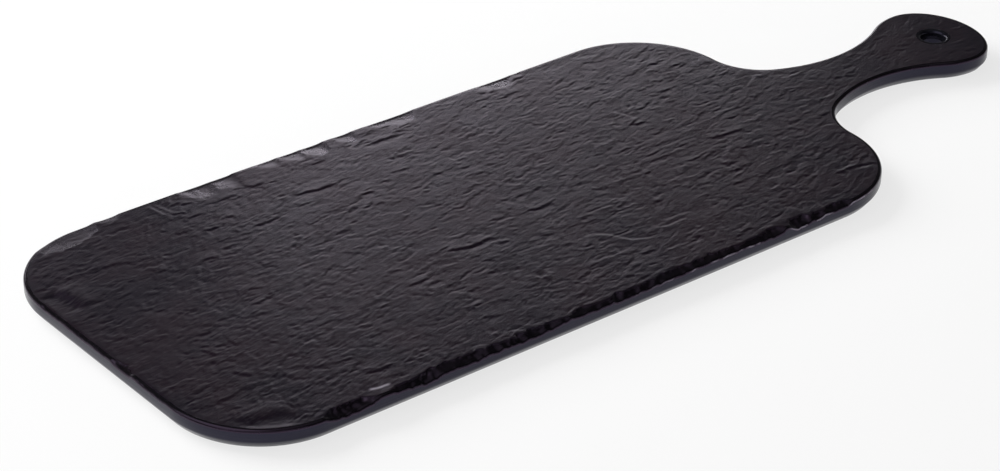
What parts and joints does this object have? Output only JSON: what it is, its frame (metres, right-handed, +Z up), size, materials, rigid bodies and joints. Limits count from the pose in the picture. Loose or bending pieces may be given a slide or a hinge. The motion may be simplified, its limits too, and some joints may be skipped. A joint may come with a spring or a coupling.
{
  "type": "serving board",
  "caption": "Flat paddle-shaped serving board with a dark slate-look face, rounded corners, an undercut edge, a waisted handle with a hanging hole, and non-slip feet.",
  "frame": {"origin": "on the table plane, under the middle of the whole length and width", "axes": "+X along the board towards the tip of the handle, +Z up out of the serving face, +Y to the left of someone who looks from the front edge to the handle"},
  "size_m": [0.53, 0.2, 0.012],
  "materials": {
    "melamine": "satin black with a riven-slate relief on the serving face and a polished edge",
    "silicone": "matte black",
    "adhesive": "milky acrylic film"
  },
  "bodies": {
    "root": {"board": "melamine", "foot_front_left": "silicone", "foot_front_right": "silicone", "foot_rear_left": "silicone", "foot_rear_right": "silicone", "adhesive_disc_front_left": "adhesive", "adhesive_disc_front_right": "adhesive", "adhesive_disc_rear_left": "adhesive", "adhesive_disc_rear_right": "adhesive"}
  },
  "joints": []
}
